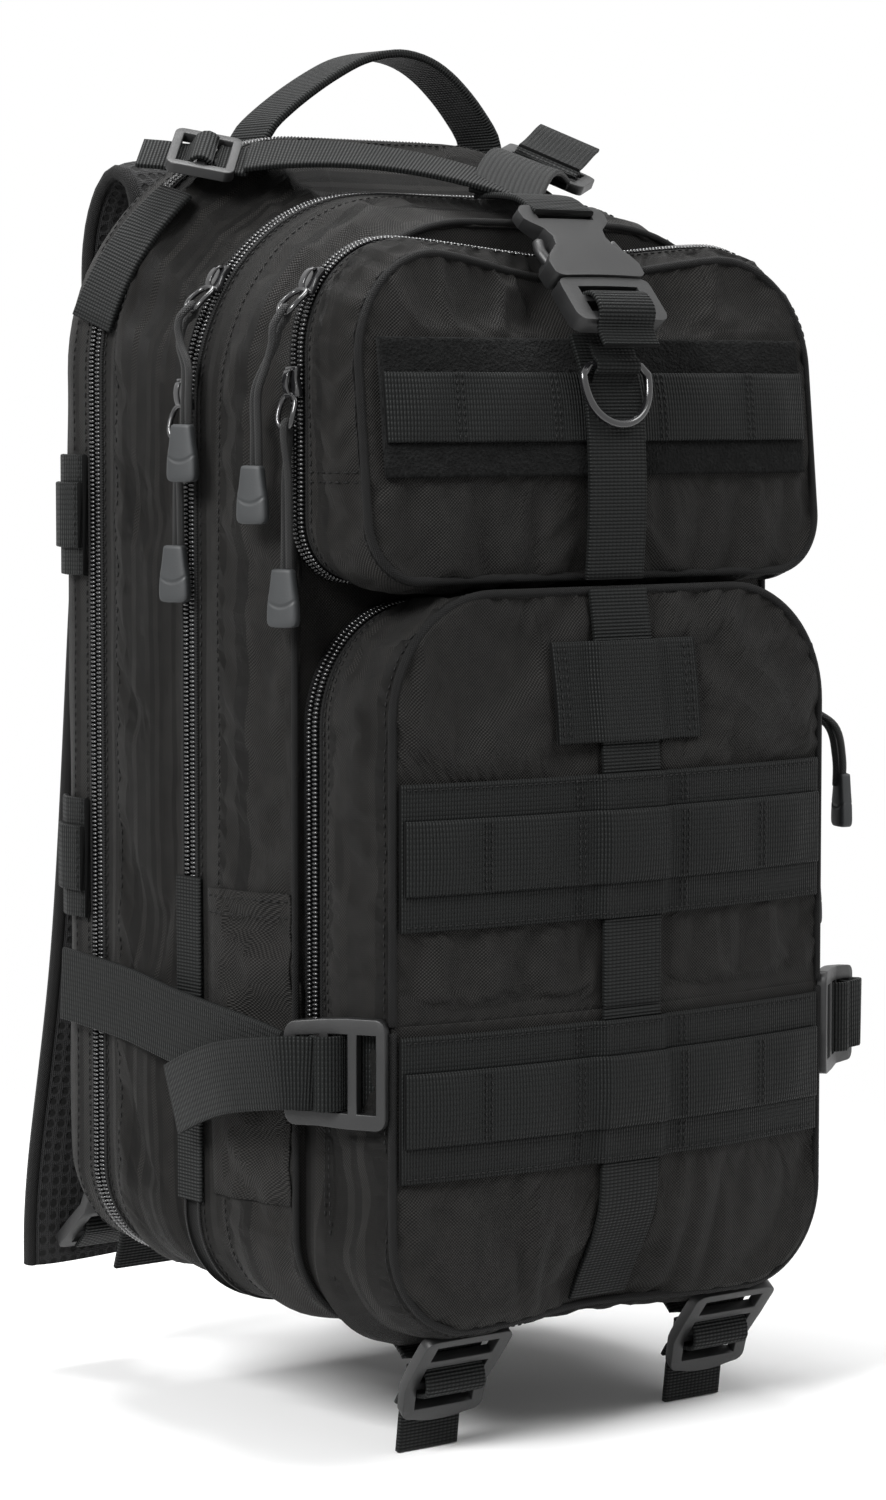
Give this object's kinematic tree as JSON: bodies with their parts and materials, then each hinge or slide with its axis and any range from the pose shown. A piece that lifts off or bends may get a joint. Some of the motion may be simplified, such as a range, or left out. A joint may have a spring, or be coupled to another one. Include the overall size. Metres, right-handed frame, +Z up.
{
  "type": "trauma backpack",
  "caption": "Upright fabric backpack with zipped compartments that swing open, stacked front pockets with webbing rows, a buckled top strap, and padded shoulder straps.",
  "frame": {"origin": "centre of the flat face of the back pad, which lies against the wearer's back", "axes": "+Z up, +Y out of the back pad towards the wearer, +X to the right of a viewer who faces the pack's front"},
  "size_m": [0.2811, 0.2556, 0.5245],
  "materials": {
    "fabric": "woven, matt",
    "webbing": "ribbed webbing",
    "loop": "brushed loop pile",
    "air_mesh": "spacer mesh",
    "zip": "coil on woven tape",
    "plastic": "moulded, satin",
    "metal": "black enamel",
    "grey": "moulded, matt"
  },
  "bodies": {
    "back": {"back_shell": "fabric", "back_pad": "air_mesh", "shoulder_webbing_left": "webbing", "shoulder_webbing_right": "webbing", "yoke_anchor_left": "webbing", "yoke_anchor_right": "webbing", "compression_strap_left": "webbing", "compression_strap_right": "webbing"},
    "carry_handle": {"carry_handle": "webbing"},
    "shoulder_left": {"shoulder_strap_left": "air_mesh", "shoulder_lock_left": "plastic"},
    "shoulder_right": {"shoulder_strap_right": "air_mesh", "shoulder_lock_right": "plastic"},
    "main_front": {"main_shell": "fabric", "main_zip": "zip", "triglide_left": "plastic", "triglide_right": "plastic"},
    "mid_front": {"mid_shell": "fabric", "mid_zip": "zip", "lower_zip": "zip", "pocket_base": "fabric", "row_lower": "webbing", "base_strap": "webbing", "bottom_strap_left": "webbing", "bottom_strap_right": "webbing", "bottom_lock_left": "plastic", "bottom_lock_right": "plastic"},
    "compression_left": {"compression_lock_left": "plastic", "compression_tail_left": "webbing"},
    "compression_right": {"compression_lock_right": "plastic", "compression_tail_right": "webbing"},
    "upper_pocket": {"upper_pocket": "fabric", "upper_zip": "zip", "loop_panel": "loop", "upper_band": "webbing", "buckle_female": "plastic", "yoke_strap": "webbing"},
    "front_strap": {"buckle_male": "plastic", "front_strap": "webbing"},
    "d_ring": {"d_ring": "plastic"},
    "lower_flap": {"pocket_flap": "fabric", "row_upper": "webbing", "flap_strap": "webbing"},
    "main_zip_upper": {"main_zip_upper_slider": "metal"},
    "main_zip_upper_pull": {"main_zip_upper_pull": "grey"},
    "main_zip_lower": {"main_zip_lower_slider": "metal"},
    "main_zip_lower_pull": {"main_zip_lower_pull": "grey"},
    "mid_zip_upper": {"mid_zip_upper_slider": "metal"},
    "mid_zip_upper_pull": {"mid_zip_upper_pull": "grey"},
    "mid_zip_lower": {"mid_zip_lower_slider": "metal"},
    "mid_zip_lower_pull": {"mid_zip_lower_pull": "grey"},
    "upper_zip_upper": {"upper_zip_upper_slider": "metal"},
    "upper_zip_upper_pull": {"upper_zip_upper_pull": "grey"},
    "upper_zip_lower": {"upper_zip_lower_slider": "metal"},
    "upper_zip_lower_pull": {"upper_zip_lower_pull": "grey"},
    "lower_zip_upper": {"lower_zip_upper_slider": "metal"},
    "lower_zip_upper_pull": {"lower_zip_upper_pull": "grey"},
    "lower_zip_lower": {"lower_zip_lower_slider": "metal"},
    "lower_zip_lower_pull": {"lower_zip_lower_pull": "grey"}
  },
  "joints": [
    {"name": "main_open", "type": "hinge", "parent": "back", "child": "main_front", "pos_m": [0, -0.036, -0.2134], "axis": [1, 0, 0], "range_deg": [0, 80]},
    {"name": "mid_open", "type": "hinge", "parent": "main_front", "child": "mid_front", "pos_m": [0, -0.098, -0.2224], "axis": [1, 0, 0], "range_deg": [0, 70]},
    {"name": "upper_open", "type": "hinge", "parent": "mid_front", "child": "upper_pocket", "pos_m": [0, -0.2077, 0.0505], "axis": [1, 0, 0], "range_deg": [0, 85]},
    {"name": "lower_open", "type": "hinge", "parent": "mid_front", "child": "lower_flap", "pos_m": [0, -0.2183, -0.105], "axis": [1, 0, 0], "range_deg": [0, 80]},
    {"name": "buckle_release", "type": "slide", "parent": "upper_pocket", "child": "front_strap", "axis": [0, -0.6691, -0.7431], "range_m": [0, 0.027]},
    {"name": "ring_swing", "type": "hinge", "parent": "front_strap", "child": "d_ring", "pos_m": [0, -0.19976, 0.13], "axis": [-1, 0, 0], "range_deg": [0, 100]},
    {"name": "handle_fold", "type": "hinge", "parent": "back", "child": "carry_handle", "pos_m": [0.016, -0.028, 0.22953], "axis": [1, 0, 0], "range_deg": [-60, 50]},
    {"name": "shoulder_swing_left", "type": "hinge", "parent": "back", "child": "shoulder_left", "pos_m": [-0.05, -0.0019, 0.1905], "axis": [1, 0, 0], "range_deg": [0, 20]},
    {"name": "compression_tilt_left", "type": "hinge", "parent": "mid_front", "child": "compression_left", "pos_m": [-0.1031, -0.1997, -0.122], "axis": [0, 0, 1], "range_deg": [0, 40]},
    {"name": "shoulder_swing_right", "type": "hinge", "parent": "back", "child": "shoulder_right", "pos_m": [0.05, -0.0019, 0.1905], "axis": [1, 0, 0], "range_deg": [0, 20]},
    {"name": "compression_tilt_right", "type": "hinge", "parent": "mid_front", "child": "compression_right", "pos_m": [0.10267, -0.19915, -0.122], "axis": [0, 0, -1], "range_deg": [0, 40]},
    {"name": "main_zip_upper_run", "type": "slide", "parent": "main_front", "child": "main_zip_upper", "axis": [0, 0, 1], "range_m": [0, 0.03]},
    {"name": "main_zip_upper_swing", "type": "hinge", "parent": "main_zip_upper", "child": "main_zip_upper_pull", "pos_m": [0.1263, -0.04, 0.0664], "axis": [0, -1, 0], "range_deg": [0, 64]},
    {"name": "main_zip_lower_run", "type": "slide", "parent": "main_front", "child": "main_zip_lower", "axis": [0, 0, 1], "range_m": [-0.05, 0]},
    {"name": "main_zip_lower_swing", "type": "hinge", "parent": "main_zip_lower", "child": "main_zip_lower_pull", "pos_m": [0.1263, -0.04, 0.0374], "axis": [0, -1, 0], "range_deg": [0, 64]},
    {"name": "mid_zip_upper_run", "type": "hinge", "parent": "mid_front", "child": "mid_zip_upper", "pos_m": [-0.041, -0.102, 0.114], "axis": [0, 1, 0], "range_deg": [0, 50]},
    {"name": "mid_zip_upper_swing", "type": "hinge", "parent": "mid_zip_upper", "child": "mid_zip_upper_pull", "pos_m": [-0.12007, -0.102, 0.15005], "axis": [0, 1, 0], "range_deg": [0, 64]},
    {"name": "mid_zip_lower_run", "type": "slide", "parent": "mid_front", "child": "mid_zip_lower", "axis": [0, 0, 1], "range_m": [-0.12, 0]},
    {"name": "mid_zip_lower_swing", "type": "hinge", "parent": "mid_zip_lower", "child": "mid_zip_lower_pull", "pos_m": [-0.1263, -0.102, 0.1034], "axis": [0, 1, 0], "range_deg": [0, 64]},
    {"name": "upper_zip_upper_run", "type": "hinge", "parent": "upper_pocket", "child": "upper_zip_upper", "pos_m": [-0.073, -0.1615, 0.134], "axis": [0, 1, 0], "range_deg": [0, 50]},
    {"name": "upper_zip_upper_swing", "type": "hinge", "parent": "upper_zip_upper", "child": "upper_zip_upper_pull", "pos_m": [-0.12114, -0.1615, 0.14797], "axis": [0, 1, 0], "range_deg": [0, 64]},
    {"name": "upper_zip_lower_run", "type": "slide", "parent": "upper_pocket", "child": "upper_zip_lower", "axis": [0, 0, 1], "range_m": [-0.035, 0]},
    {"name": "upper_zip_lower_swing", "type": "hinge", "parent": "upper_zip_lower", "child": "upper_zip_lower_pull", "pos_m": [-0.1203, -0.1615, 0.1074], "axis": [0, 1, 0], "range_deg": [0, 64]},
    {"name": "lower_zip_upper_run", "type": "hinge", "parent": "mid_front", "child": "lower_zip_upper", "pos_m": [0.064, -0.1615, -0.0008], "axis": [0, -1, 0], "range_deg": [0, 36]},
    {"name": "lower_zip_upper_swing", "type": "hinge", "parent": "lower_zip_upper", "child": "lower_zip_upper_pull", "pos_m": [0.11458, -0.1615, 0.01492], "axis": [0, -1, 0], "range_deg": [0, 64]},
    {"name": "lower_zip_lower_run", "type": "slide", "parent": "mid_front", "child": "lower_zip_lower", "axis": [0, 0, 1], "range_m": [-0.025, 0]},
    {"name": "lower_zip_lower_swing", "type": "hinge", "parent": "lower_zip_lower", "child": "lower_zip_lower_pull", "pos_m": [0.1143, -0.1615, -0.0274], "axis": [0, -1, 0], "range_deg": [0, 64]}
  ]
}
